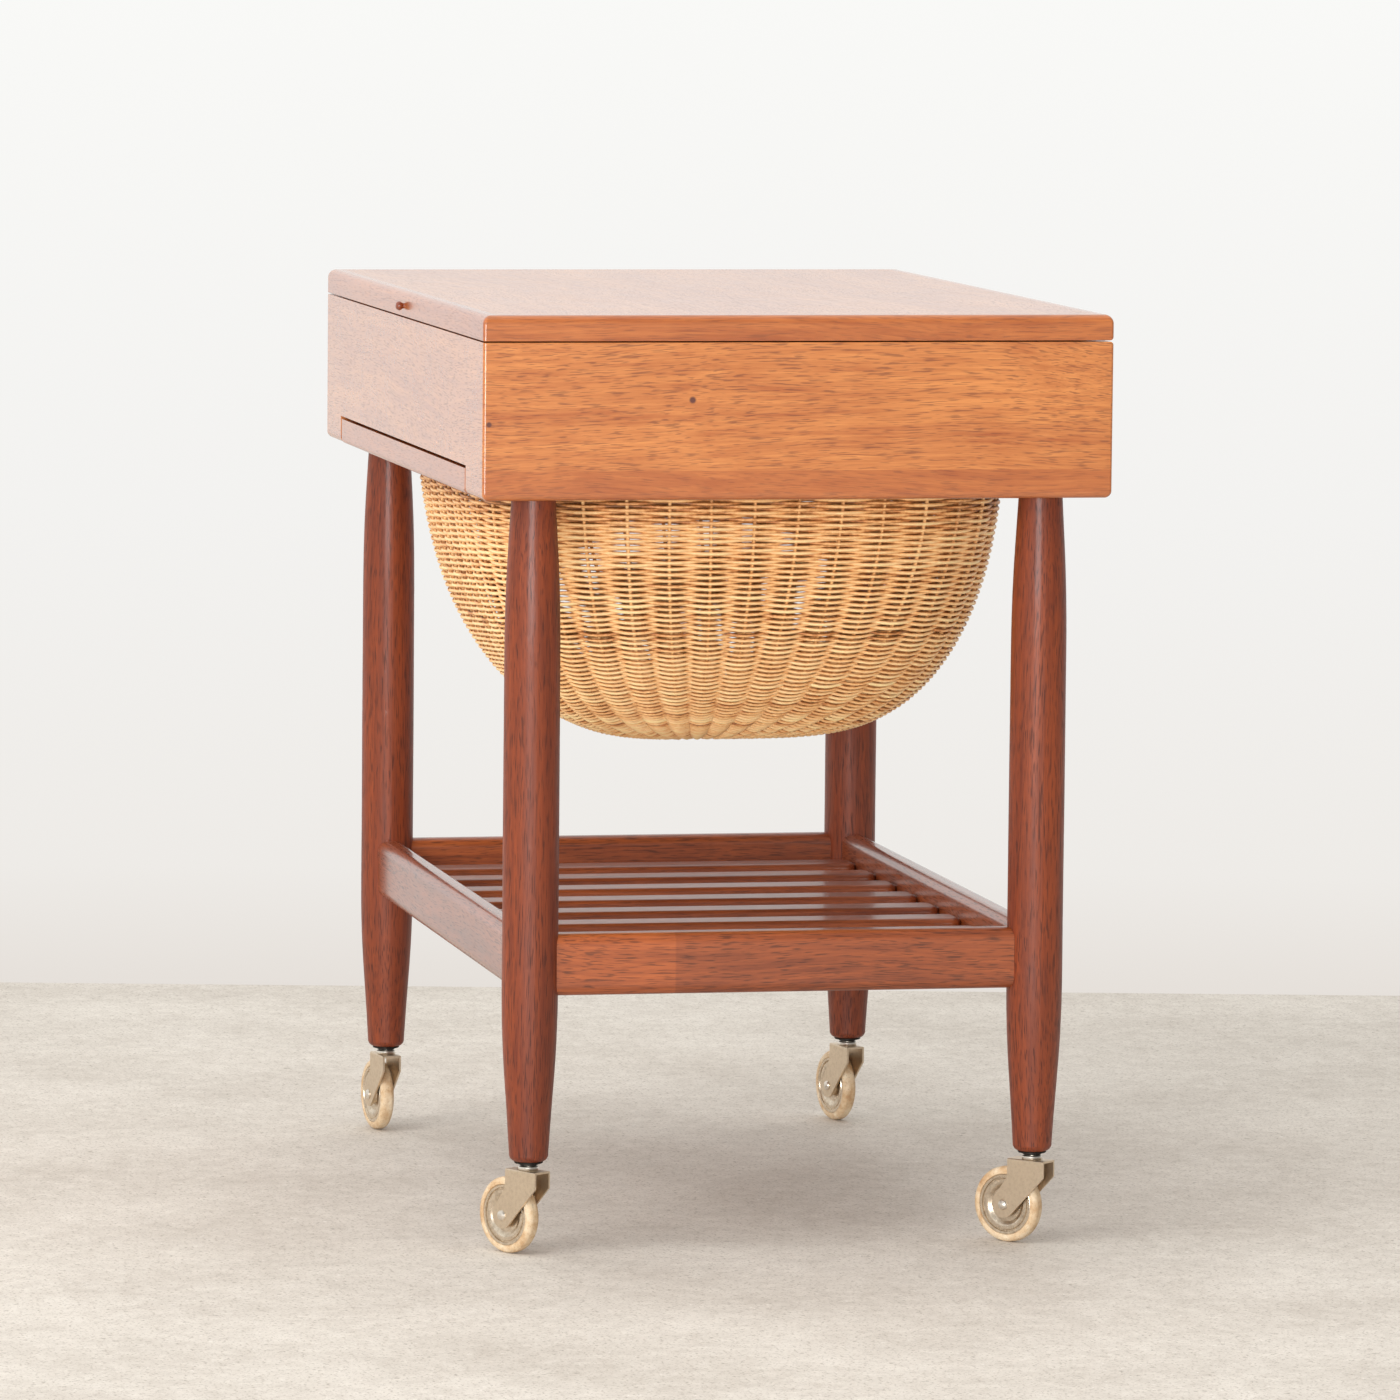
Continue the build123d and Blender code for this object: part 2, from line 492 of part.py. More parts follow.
# riveted stem with the bright race ring that sits on the fork plate
stem = turned([(0, P0 - 1.3), (3.6, P0 - 1.3), (4.4, P0 - 0.7), (4.4, P0), (3.0, P0),
               (3.0, P1), (5.9, P1), (6.5, P1 + 0.4), (6.8, P1 + 1.4),
               (6.5, P1 + 2.4), (5.9, P1 + 2.8), (4.9, P1 + 2.95), (STEM_R, P1 + 2.95),
               (STEM_R, 92.8), (2.8, 94.8), (0, 94.8)])
axle_profile = [(0, -CH - 2.2), (1.6, -CH - 2.0), (2.9, -CH - 1.3), (3.5, -CH - 0.4),
                (3.5, -CH), (2.5, -CH), (2.5, CH), (3.5, CH), (3.5, CH + 0.4),
                (2.9, CH + 1.3), (1.6, CH + 2.0), (0, CH + 2.2)]
hub_half = [(2.58, 4.95), (6.2, 4.95), (6.9, 4.3), (7.2, 2.7), (11.4, 2.4), (12.2, 2.9),
            (13.6, 3.9), (14.6, 4.15), (16.6, 4.15), (17.1, 3.3), (17.7, 3.3),
            (18.1, 4.25), (19.6, 4.35), (20.0, 4.1)]
hub_profile = hub_half + [(r, -w) for r, w in reversed(hub_half)]
TW = TYRE_W / 2
tyre_face = make_face([
    Line((20.0, 0, -TW + 0.7), (20.0, 0, TW - 0.7)),
    ThreePointArc((20.0, 0, TW - 0.7), (20.25, 0, TW - 0.15), (20.9, 0, TW)),
    Line((20.9, 0, TW), (22.0, 0, TW)),
    ThreePointArc((22.0, 0, TW), (24.2, 0, TW - 1.35), (WHEEL_R, 0, TW - 3.6)),
    Line((WHEEL_R, 0, TW - 3.6), (WHEEL_R, 0, -TW + 3.6)),
    ThreePointArc((WHEEL_R, 0, -TW + 3.6), (24.2, 0, -TW + 1.35), (22.0, 0, -TW)),
    Line((22.0, 0, -TW), (20.9, 0, -TW)),
    ThreePointArc((20.9, 0, -TW), (20.25, 0, -TW + 0.15), (20.0, 0, -TW + 0.7)),
])


def on_axle(solid):
    """Turns a solid of revolution about Z onto the axle, which lies along local Y."""
    return Pos(TRAIL, 0, AX_Z) * Rot(90, 0, 0) * solid


axle = on_axle(turned(axle_profile))
hub = on_axle(turned(hub_profile))
tyre = on_axle(revolve(tyre_face, Axis.Z, 360))
for name, (sx, sy, psi) in CASTERS.items():
    place = Pos(sx * LEG_X, sy * LEG_Y, 0) * Rot(0, 0, psi)
    nodes["fork_" + name] = place * fork
    nodes["stem_" + name] = place * stem
    nodes["axle_" + name] = place * axle
    nodes["hub_" + name] = place * hub
    nodes["tyre_" + name] = place * tyre

CASTER_PARTS = ("fork_", "stem_", "axle_", "hub_", "tyre_")
for name in nodes:
    if not name.startswith(CASTER_PARTS):
        raised = [Pos(0, 0, LIFT) * q for q in nodes[name].solids()]
        nodes[name] = raised[0] if len(raised) == 1 else group(raised)

for name, shape in nodes.items():
    export_step(shape, f"parts/{name}.step")
print(len(nodes), "nodes written")
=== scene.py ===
import math
import bpy
import numpy as np
from mathutils import Matrix, Vector


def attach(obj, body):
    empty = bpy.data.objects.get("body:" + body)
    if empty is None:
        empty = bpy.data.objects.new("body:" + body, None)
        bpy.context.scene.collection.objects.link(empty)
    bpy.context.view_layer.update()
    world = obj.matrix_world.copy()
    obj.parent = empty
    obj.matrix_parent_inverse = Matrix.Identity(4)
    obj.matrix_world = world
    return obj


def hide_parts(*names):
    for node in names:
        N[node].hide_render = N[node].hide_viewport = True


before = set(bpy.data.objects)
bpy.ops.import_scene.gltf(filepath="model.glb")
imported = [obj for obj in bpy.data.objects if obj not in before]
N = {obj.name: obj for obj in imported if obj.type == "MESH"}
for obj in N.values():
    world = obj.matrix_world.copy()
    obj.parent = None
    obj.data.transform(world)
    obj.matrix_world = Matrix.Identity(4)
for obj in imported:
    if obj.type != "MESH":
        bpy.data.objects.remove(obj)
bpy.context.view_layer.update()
scene = bpy.context.scene


# ------------------------------------------------------------ shader helpers
class Graph:
    """A small helper to build one procedural material."""

    def __init__(self, name):
        self.m = bpy.data.materials.new(name)
        self.m.use_nodes = True
        self.t = self.m.node_tree
        self.t.nodes.clear()
        self.out = self.t.nodes.new("ShaderNodeOutputMaterial")
        self.tc = self.t.nodes.new("ShaderNodeTexCoord")

    def put(self, socket, value):
        if hasattr(value, "is_output"):
            self.t.links.new(value, socket)
        elif value is not None:
            if isinstance(value, (tuple, list)) and len(value) == 3 and len(getattr(socket, "default_value", [])) == 4:
                value = (*value, 1.0)
            socket.default_value = value

    def node(self, kind, _out=0, _props=None, **inputs):
        n = self.t.nodes.new("ShaderNode" + kind)
        for k, v in (_props or {}).items():
            setattr(n, k, v)
        for k, v in inputs.items():
            key = int(k[1:]) if k[0] == "i" and k[1:].isdigit() else k.replace("_", " ")
            self.put(n.inputs[key], v)
        return n.outputs[_out]

    def math(self, op, a, b=None, c=None, clamp=False):
        return self.node("Math", _props={"operation": op, "use_clamp": clamp}, i0=a, i1=b, i2=c)

    def vmath(self, op, a, b=None, out=0):
        return self.node("VectorMath", _out=out, _props={"operation": op}, i0=a, i1=b)

    def coords(self):
        return self.tc.outputs["Object"]

    def scaled(self, vec, scale, shift=(0, 0, 0)):
        return self.node("Mapping", Vector=vec, Scale=scale, Location=shift)

    def noise(self, vec, scale=1.0, detail=2.0, rough=0.5, distortion=0.0, color=False):
        return self.node("TexNoise", _out=1 if color else 0, Vector=vec, Scale=scale,
                         Detail=detail, Roughness=rough, Distortion=distortion)

    def ramp(self, fac, stops, interpolation="LINEAR"):
        n = self.t.nodes.new("ShaderNodeValToRGB")
        n.color_ramp.interpolation = interpolation
        el = n.color_ramp.elements
        while len(el) < len(stops):
            el.new(0.5)
        for e, (p, c) in zip(el, stops):
            e.position = p
            e.color = (*c, 1.0) if isinstance(c, (tuple, list)) else (c, c, c, 1.0)
        self.put(n.inputs[0], fac)
        return n.outputs[0]

    def mix(self, fac, a, b, blend="MIX"):
        n = self.t.nodes.new("ShaderNodeMix")
        n.data_type = "RGBA"
        n.blend_type = blend
        self.put(n.inputs[0], fac)
        self.put(n.inputs[6], a)
        self.put(n.inputs[7], b)
        return n.outputs[2]

    def map(self, v, a, b, c, d):
        return self.node("MapRange", Value=v, i1=a, i2=b, i3=c, i4=d)

    def bump(self, height, strength=0.3, distance=0.001, normal=None):
        return self.node("Bump", Strength=strength, Distance=distance, Height=height, Normal=normal)

    def surface(self, **inputs):
        n = self.t.nodes.new("ShaderNodeBsdfPrincipled")
        for k, v in inputs.items():
            self.put(n.inputs[k.replace("_", " ")], v)
        self.t.links.new(n.outputs[0], self.out.inputs[0])
        return self.m


def srgb(r, g, b):
    def f(c):
        c /= 255.0
        return c / 12.92 if c <= 0.04045 else ((c + 0.055) / 1.055) ** 2.4
    return (f(r), f(g), f(b))


def dim(c, k):
    return tuple(x * k for x in c)


# ---------------------------------------------------------------- materials
ALONG = {"x": (1, 0, 0), "y": (0, 1, 0), "z": (0, 0, 1)}


def grain_scale(axis, along, across):
    return tuple(along if ALONG[axis][i] else across for i in range(3))


def teak(name, axis, light, dark, pore, roughness=0.34, coat=1.0, seed=0.0, pores=1.0,
         figure=1.0, wave=0.010, spots=(), patches=()):
    """Lacquered teak with its grain along one axis: colour bands, fibres, dark open pores."""
    g = Graph(name)
    p = g.vmath("ADD", g.coords(), (seed * 0.37, seed * 0.53, seed * 0.71))
    # slow wander of the grain
    drift = g.noise(g.scaled(p, grain_scale(axis, 3.2, 7.0)), 1.0, 1.5, 0.5, color=True)
    drift = g.vmath("SCALE", g.vmath("SUBTRACT", drift, (0.5, 0.5, 0.5)), None)
    g.t.nodes[-1].inputs["Scale"].default_value = wave * 4.0
    q = g.vmath("ADD", p, drift)
    broad = g.noise(g.scaled(q, grain_scale(axis, 1.8, 26.0)), 1.0, 3.0, 0.55)
    bands = g.noise(g.scaled(q, grain_scale(axis, 4.0, 130.0)), 1.0, 3.0, 0.6)
    fibre = g.noise(g.scaled(q, grain_scale(axis, 22.0, 780.0)), 1.0, 3.0, 0.65)
    streak = g.noise(g.scaled(q, grain_scale(axis, 12.0, 400.0)), 1.0, 2.0, 0.6)
    blotch = g.noise(g.scaled(p, grain_scale(axis, 30.0, 42.0)), 1.0, 3.0, 0.6)
    tone = g.math("ADD", g.math("MULTIPLY", broad, 0.42 * figure),
                  g.math("MULTIPLY", bands, 0.34 * figure))
    tone = g.math("ADD", tone, g.math("MULTIPLY", fibre, 0.40))
    tone = g.math("ADD", tone, g.math("MULTIPLY", blotch, 0.20))
    tone = g.math("ADD", tone, g.math("MULTIPLY", streak, 0.42))
    mid = (0.42 * figure + 0.34 * figure + 0.40 + 0.20 + 0.42) / 2
    tone = g.map(tone, mid - 0.20, mid + 0.20, 0.0, 1.0)
    middle = tuple((a + b) / 2 for a, b in zip(light, dark))
    colour = g.ramp(tone, [(0.0, dark), (0.5, middle), (1.0, light)])
    # open pores: short dark dashes, denser in some bands
    cell = g.noise(g.scaled(q, grain_scale(axis, 78.0, 1350.0)), 1.0, 1.0, 0.4)
    dense = g.noise(g.scaled(q, grain_scale(axis, 8.0, 60.0)), 1.0, 2.0, 0.5)
    level = g.math("ADD", cell, g.math("MULTIPLY", g.math("SUBTRACT", dense, 0.5), 0.14))
    dash = g.map(level, 0.55, 0.66, 0.0, 1.0)
    colour = g.mix(g.math("MULTIPLY", dash, 0.50 * pores), colour, pore)
    for (x, y, z, r, c) in spots:
        d = g.vmath("DISTANCE", g.coords(), (x, y, z), out=1)
        f = g.map(d, r * 0.55, r, 1.0, 0.0)
        colour = g.mix(f, colour, c)
    for (lo, hi, soft, c, amount) in patches:
        # a piece of another tone between two planes across the grain
        s = g.node("SeparateXYZ", _out="xyz".index(axis), Vector=g.coords())
        f = g.math("MULTIPLY", g.map(s, lo - soft, lo + soft, 0.0, 1.0),
                   g.map(s, hi - soft, hi + soft, 1.0, 0.0))
        colour = g.mix(g.math("MULTIPLY", f, amount), colour, g.mix(1.0, colour, c, "MULTIPLY"))
    rough = g.math("ADD", roughness, g.math("MULTIPLY", g.math("SUBTRACT", blotch, 0.5), 0.10))
    rough = g.math("ADD", rough, g.math("MULTIPLY", dash, 0.10))
    height = g.math("SUBTRACT", g.math("MULTIPLY", fibre, 0.35), g.math("MULTIPLY", dash, 0.8))
    normal = g.bump(height, 0.22, 0.00018)
    return g.surface(Base_Color=colour, Roughness=rough, Normal=normal, IOR=1.5,
                     Coat_Weight=coat, Coat_Roughness=0.17, Coat_IOR=1.55)


def pale_wood(name, axis, light, dark, seed=0.0, roughness=0.5, layers=False):
    """Beech or plywood with a thin clear finish: short flecks and soft bands."""
    g = Graph(name)
    p = g.vmath("ADD", g.coords(), (seed * 0.31, seed * 0.47, seed * 0.59))
    bands = g.noise(g.scaled(p, grain_scale(axis, 2.5, 60.0)), 1.0, 3.0, 0.55)
    fibre = g.noise(g.scaled(p, grain_scale(axis, 40.0, 700.0)), 1.0, 2.0, 0.5)
    fleck = g.noise(g.scaled(p, grain_scale(axis, 190.0, 900.0)), 1.0, 0.0, 0.5)
    tone = g.math("ADD", g.math("MULTIPLY", bands, 0.65), g.math("MULTIPLY", fibre, 0.35))
    colour = g.ramp(g.map(tone, 0.32, 0.68, 0.0, 1.0), [(0.0, dark), (1.0, light)])
    f = g.map(fleck, 0.64, 0.72, 0.0, 0.4)
    colour = g.mix(f, colour, dim(dark, 0.62))
    if layers:
        z = g.node("SeparateXYZ", _out=2, Vector=g.coords())
        n = g.node("SeparateXYZ", _out=2, Vector=g.node("NewGeometry", _out=1))
        side = g.map(g.math("ABSOLUTE", n), 0.4, 0.6, 1.0, 0.0)
        ply = g.math("PINGPONG", z, 0.0012)
        ply = g.map(ply, 0.0004, 0.0008, 0.0, 1.0)
        colour = g.mix(g.math("MULTIPLY", g.math("MULTIPLY", side, ply), 0.6), colour, dim(dark, 0.55))
    height = g.math("SUBTRACT", g.math("MULTIPLY", fibre, 0.5), f)
    return g.surface(Base_Color=colour, Roughness=g.math("ADD", roughness - 0.06, g.math("MULTIPLY", fibre, 0.12)),
                     Normal=g.bump(height, 0.2, 0.00015), IOR=1.48, Coat_Weight=0.25, Coat_Roughness=0.35)


def metal(name, colour, tarnish, roughness, scale=(260, 260, 260), grime=0.35, metallic=1.0, bump=0.08):
    g = Graph(name)
    p = g.coords()
    a = g.noise(g.scaled(p, scale), 1.0, 4.0, 0.6)
    b = g.noise(g.scaled(p, (1500, 1500, 1500)), 1.0, 2.0, 0.6)
    streak = g.noise(g.scaled(p, (900, 900, 90)), 1.0, 2.0, 0.5)
    f = g.map(a, 0.42, 0.70, 0.0, grime)
    c = g.mix(f, colour, tarnish)
    c = g.mix(g.map(b, 0.60, 0.74, 0.0, grime * 0.8), c, dim(tarnish, 0.6))
    rough = g.math("ADD", roughness, g.math("MULTIPLY", g.math("SUBTRACT", a, 0.5), 0.25))
    rough = g.math("ADD", rough, g.math("MULTIPLY", g.math("SUBTRACT", streak, 0.5), 0.12), clamp=True)
    return g.surface(Base_Color=c, Metallic=metallic, Roughness=rough,
                     Normal=g.bump(g.math("ADD", b, streak), bump, 0.00012))


def rubber(name):
    g = Graph(name)
    p = g.coords()
    a = g.noise(g.scaled(p, (90, 90, 90)), 1.0, 4.0, 0.65)
    b = g.noise(g.scaled(p, (900, 900, 900)), 1.0, 3.0, 0.65)
    c = g.ramp(g.map(a, 0.30, 0.70, 0.0, 1.0),
               [(0.0, srgb(180, 140, 98)), (0.45, srgb(208, 180, 144)), (1.0, srgb(228, 211, 184))])
    c = g.mix(g.map(b, 0.56, 0.72, 0.0, 0.55), c, srgb(128, 100, 72))
    return g.surface(Base_Color=c, Roughness=g.math("ADD", 0.52, g.math("MULTIPLY", b, 0.2)),
                     Normal=g.bump(b, 0.35, 0.0004), IOR=1.5, Coat_Weight=0.0)


def cane(name, light, mid, dark, roughness=0.42):
    """Natural cane: tone from each strand's attribute (its own tone plus painted shade), fibres and small stains."""
    g = Graph(name)
    p = g.coords()
    tone = g.node("Attribute", _out=2, _props={"attribute_name": "tone", "attribute_type": "GEOMETRY"})
    n1 = g.noise(g.scaled(p, (38, 38, 60)), 1.0, 3.0, 0.6)
    n2 = g.noise(g.scaled(p, (260, 260, 520)), 1.0, 2.0, 0.6)
    t = g.math("ADD", tone, g.math("MULTIPLY", g.math("SUBTRACT", n1, 0.5), 0.40))
    t = g.math("ADD", t, g.math("MULTIPLY", g.math("SUBTRACT", n2, 0.5), 0.70))
    # the darkest stop colours mostly the deepest painted shade carried in the tone attribute
    c = g.ramp(t, [(0.0, dim(dark, 0.42)), (0.22, dark), (0.46, mid), (0.80, light),
                   (1.0, tuple(min(1, x * 1.12) for x in light))])
    return g.surface(Base_Color=c, Roughness=g.math("ADD", roughness, g.math("MULTIPLY", n2, 0.14)),
                     Normal=g.bump(n2, 0.25, 0.0002), IOR=1.5, Coat_Weight=0.12, Coat_Roughness=0.3)


TEAK_L, TEAK_D, TEAK_P = srgb(210, 134, 70), srgb(164, 84, 36), srgb(92, 38, 16)
LIP_L, LIP_D, LIP_P = srgb(194, 114, 56), srgb(152, 74, 32), srgb(82, 36, 16)
LEG_L, LEG_D, LEG_P = srgb(140, 60, 20), srgb(100, 36, 10), srgb(50, 16, 6)
SHF_L, SHF_D, SHF_P = srgb(156, 78, 36), srgb(104, 44, 18), srgb(52, 20, 8)

mats = {
    "end": teak("TeakEndVeneer", "y", TEAK_L, TEAK_D, TEAK_P, seed=1.0, figure=1.1, pores=1.1, wave=0.012,
                spots=[(0.310, -0.0708, 0.5579, 0.0027, srgb(92, 44, 34)),
                       (0.310, -0.2035, 0.5425, 0.0022, srgb(92, 44, 34))]),
    "wall_x": teak("TeakWallVeneer", "x", TEAK_L, TEAK_D, TEAK_P, seed=2.0, figure=0.9, coat=1.0, roughness=0.28),
    "lip_y": teak("TeakLippingY", "y", LIP_L, LIP_D, LIP_P, seed=3.0, figure=0.8, pores=0.7),
    "lip_x": teak("TeakLippingX", "x", LIP_L, LIP_D, LIP_P, seed=4.0, figure=0.8, pores=0.7),
    "top": teak("TeakTop", "x", TEAK_L, TEAK_D, TEAK_P, seed=5.0, figure=1.1, wave=0.02, coat=0.8),
    "leg": teak("TeakLeg", "z", LEG_L, LEG_D, LEG_P, seed=6.0, coat=0.15, roughness=0.55, figure=1.35, pores=1.3, wave=0.006),
    "rail_x": teak("TeakRailX", "x", SHF_L, SHF_D, SHF_P, seed=7.0, coat=0.9, roughness=0.44, figure=1.3, pores=1.2, wave=0.008),
    "rail_y": teak("TeakRailY", "y", SHF_L, SHF_D, SHF_P, seed=8.0, coat=0.4, roughness=0.46, figure=1.3, pores=1.2, wave=0.008,
                   patches=[(-0.4, -0.0735, 0.0006, (1.30, 1.34, 1.25), 1.0)]),
    "slat": teak("TeakSlat", "y", SHF_L, SHF_D, SHF_P, seed=9.0, coat=0.4, roughness=0.46, figure=1.2, pores=0.7, wave=0.006),
    "pull": teak("TeakPull", "y", LEG_L, LEG_D, LEG_P, seed=10.0, figure=1.0, pores=0.6),
    "ply": pale_wood("Plywood", "x", srgb(214, 178, 130), srgb(182, 138, 92), 1.0, layers=True),
    "beech_x": pale_wood("BeechX", "x", srgb(210, 168, 122), srgb(178, 130, 88), 2.0),
    "beech_y": pale_wood("BeechY", "y", srgb(210, 168, 122), srgb(178, 130, 88), 3.0),
    "beech_z": pale_wood("BeechZ", "z", srgb(214, 174, 128), srgb(184, 138, 94), 4.0),
    "brass": metal("AgedBrass", srgb(206, 164, 92), srgb(120, 84, 44), 0.34),
    "brass_screw": metal("BrassScrew", srgb(214, 172, 98), srgb(110, 78, 40), 0.30, grime=0.45),
    "steel": metal("SteelPin", srgb(190, 186, 180), srgb(120, 112, 102), 0.28),
    "black": metal("BlackenedSteel", srgb(46, 43, 41), srgb(22, 20, 19), 0.42, metallic=0.7),
    "fork": metal("NickelFork", srgb(222, 204, 180), srgb(188, 166, 140), 0.42, scale=(420, 420, 420), grime=0.35, bump=0.04),
    "hub": metal("NickelHub", srgb(228, 213, 192), srgb(150, 128, 102), 0.30, scale=(300, 300, 300), grime=0.5, bump=0.04),
    "bright": metal("BrightNickel", srgb(232, 224, 212), srgb(176, 162, 142), 0.34, grime=0.3),
    "rubber": rubber("CreamRubber"),
    "cane_weft": cane("CaneWeft", srgb(255, 214, 156), srgb(244, 188, 124), srgb(198, 128, 70)),
    "cane_stake": cane("CaneStake", srgb(255, 216, 160), srgb(244, 194, 132), srgb(206, 142, 84)),
}

USE = {
    "case_front_wall": "wall_x", "case_rear_wall": "wall_x", "case_left_end": "end", "case_right_end": "end",
    "end_lippings": "lip_y", "case_floor": "ply", "leg_blocks": "beech_z",
    "leg_front_left": "leg", "leg_front_right": "leg", "leg_rear_left": "leg", "leg_rear_right": "leg",
    "basket_runners": "beech_y", "shelf_rail_front": "rail_x", "shelf_rail_rear": "rail_x",
    "shelf_rail_left": "rail_y", "shelf_rail_right": "rail_y", "shelf_slats": "slat",
    "tray_ledges": "beech_x", "compartment_dividers": "beech_y", "spool_rail": "beech_y",
    "spool_pegs": "beech_z", "hinge_case_leaves": "brass", "hinge_lid_leaves": "brass",
    "hinge_pins": "steel", "hinge_case_screws": "brass_screw", "hinge_lid_screws": "brass_screw",
    "caster_sockets": "black", "lid_panel": "top", "lid_lipping_front": "lip_x",
    "lid_lipping_rear": "lip_x", "lid_lipping_ends": "lip_y", "lid_pull": "pull",
    "basket_frame_front": "lip_x", "basket_frame_left": "beech_y", "basket_frame_right": "beech_y",
    "basket_frame_rear": "beech_x", "tray_long_sides": "beech_y", "tray_short_sides": "beech_x",
    "tray_bottom": "ply",
}
for c in ("front_right", "rear_right", "front_left", "rear_left"):
    USE["fork_" + c] = "fork"
    USE["axle_" + c] = "bright"
    USE["hub_" + c] = "hub"
    USE["stem_" + c] = "bright"
    USE["tyre_" + c] = "rubber"
for name, key in USE.items():
    mesh = N[name].data
    mesh.materials.clear()
    mesh.materials.append(mats[key])

# ------------------------------------------------------------- woven basket
# Form of the weave's middle surface, rim to base, in millimetres.
A0, BF, BR, ZB0 = 220.0, 181.0, 185.4, 306.9
NF, NR, MM = 3.63, 3.80, 1.681
KA, KF, KR = 0.739, 0.501, 0.40
Z_RIM = 497.3
INSET = 2.7
STAKES = 48
PHASE = -0.28
PITCH = 2.15


def outline(R, n=1440):
    """Plan outline at scale R as (n, 2) points."""
    ph = np.linspace(0, 2 * np.pi, n, endpoint=False)
    c, s = np.cos(ph), np.sin(ph)
    nn = np.where(s < 0, NF, NR)
    cx = np.sign(c) * np.abs(c) ** (2 / nn)
    cy = np.sign(s) * np.abs(s) ** (2 / nn)
    x = A0 * R ** KA * cx
    y = np.where(s < 0, BF * R ** KF * cy, BR * R ** KR * cy)
    return np.stack([x, y], 1)


def even(points, u, closed=True):
    """Points at fractions u (0..1) of the outline's length, from its +X end."""
    q = np.vstack([points, points[:1]]) if closed else points
    d = np.hypot(*np.diff(q, axis=0).T)
    s = np.concatenate([[0], np.cumsum(d)])
    t = (np.asarray(u) % 1.0) * s[-1]
    return np.stack([np.interp(t, s, q[:, 0]), np.interp(t, s, q[:, 1])], 1), s[-1]


def level(th):
    return max(math.cos(th), 0.0) ** (2 / MM), Z_RIM - (495.0 - ZB0) * math.sin(th) ** (2 / MM)


# a table of the form: rows down the profile, columns round the outline
COLS = 384
th_fine = np.concatenate([np.linspace(0.0, math.pi / 2, 900)])
us = np.arange(COLS) / COLS
table_pts, table_len = [], []
for th in th_fine:
    R, z = level(th)
    xy, per = even(outline(max(R, 1e-4)), us)
    table_pts.append(np.column_stack([xy, np.full(COLS, z)]))
    table_len.append(per)
G_ = np.array(table_pts)
step = np.linalg.norm(np.diff(G_, axis=0), axis=2).mean(axis=1)
down = np.concatenate([[0], np.cumsum(step)])


def smooth_columns(P):
    return P


# outward normals of the form
du = np.roll(G_, -1, axis=1) - np.roll(G_, 1, axis=1)
dv = np.gradient(G_, axis=0)
nrm = np.cross(du, -dv)
ln = np.linalg.norm(nrm, axis=2, keepdims=True)
nrm = nrm / np.maximum(ln, 1e-9)
nrm[ln[:, :, 0] < 1e-7] = (0, 0, -1)
mid_of = G_.mean(axis=1, keepdims=True)
if (nrm[200] * (G_[200] - mid_of[200])).sum() < 0:
    nrm = -nrm


def on_form(s, u):
    """Position and outward normal at distance s down from the top and fraction u round."""
    i = np.clip(np.interp(s, down, np.arange(len(down))), 0, len(down) - 1.001)
    j = (np.asarray(u) % 1.0) * COLS
    i0, j0 = np.floor(i).astype(int), np.floor(j).astype(int)
    fi, fj = (i - i0)[..., None], (j - j0)[..., None]
    j0 = j0 % COLS
    j1 = (j0 + 1) % COLS

    def lerp(T):
        return (T[i0, j0] * (1 - fi) * (1 - fj) + T[i0 + 1, j0] * fi * (1 - fj)
                + T[i0, j1] * (1 - fi) * fj + T[i0 + 1, j1] * fi * fj)
    p, n = lerp(G_), lerp(nrm)
    n = n / np.linalg.norm(n, axis=-1, keepdims=True)
    return p - n * INSET, n


rng = np.random.default_rng(7)


def wander(count, rows, waves, rng):
    """Smooth random lines round the outline, one for each row, about -1..1."""
    u = np.arange(count) / count
    out = np.zeros((rows, count))
    for w in waves:
        a = rng.normal(size=(rows, 1)) / math.sqrt(len(waves))
        f = rng.uniform(0, 2 * np.pi, size=(rows, 1))
        out += a * np.sin(2 * np.pi * w * u[None, :] + f)
    return out


class Tubes:
    """Collects round strands into one mesh with a tone for each vertex; the tone carries painted shade as well as each
    strand's own tone.
    """

    def __init__(self):
        self.v, self.f, self.tone, self.n = [], [], [], 0

    def add(self, centre, side, up, radius, tone, closed, sides=6, flat=1.0, depth=None):
        m = len(centre)
        a = np.linspace(0, 2 * np.pi, sides, endpoint=False)
        r = np.broadcast_to(np.asarray(radius, float).reshape(-1, 1, 1), (m, 1, 1))
        ring = (side[:, None, :] * (flat * np.cos(a))[None, :, None] + up[:, None, :] * np.sin(a)[None, :, None]) * r
        v = centre[:, None, :] + ring
        self.v.append(v.reshape(-1, 3))
        idx = np.arange(m * sides).reshape(m, sides) + self.n
        nxt = np.roll(idx, -1, axis=0) if closed else idx[1:]
        cur = idx if closed else idx[:-1]
        q = np.stack([cur, np.roll(cur, -1, axis=1), np.roll(nxt, -1, axis=1), nxt], axis=2)
        self.f.append(q.reshape(-1, 4))
        # painted shade: every strand is darker on its two flanks (away from its inner and outer faces), where
        # neighbouring strands meet it
        t = np.broadcast_to(np.asarray(tone, float).reshape(-1, 1), (m, sides)) - 0.19 * np.abs(np.sin(a))[None, :]
        if depth is not None:
            # painted shade: darker where the strand dips behind a stake, seen from either side
            t = t - 0.27 * (1 - np.asarray(depth)[:, None] * np.cos(a)[None, :])
        self.tone.append(t.reshape(-1))
        self.n += m * sides

    def build(self, name, material):
        v = np.vstack(self.v) * 0.001
        f = np.vstack(self.f)
        me = bpy.data.meshes.new(name)
        me.vertices.add(len(v))
        me.vertices.foreach_set("co", v.astype(np.float32).ravel())
        me.loops.add(f.size)
        me.loops.foreach_set("vertex_index", f.astype(np.int32).ravel())
        me.polygons.add(len(f))
        me.polygons.foreach_set("loop_start", np.arange(0, f.size, 4, dtype=np.int32))
        me.polygons.foreach_set("use_smooth", np.ones(len(f), dtype=bool))
        at = me.attributes.new("tone", "FLOAT", "POINT")
        at.data.foreach_set("value", np.concatenate(self.tone).astype(np.float32))
        me.update(calc_edges=True)
        me.validate()
        me.materials.append(material)
        o = bpy.data.objects.new(name, me)
        scene.collection.objects.link(o)
        return o


def perimeter(s):
    return float(np.interp(s, down, table_len))


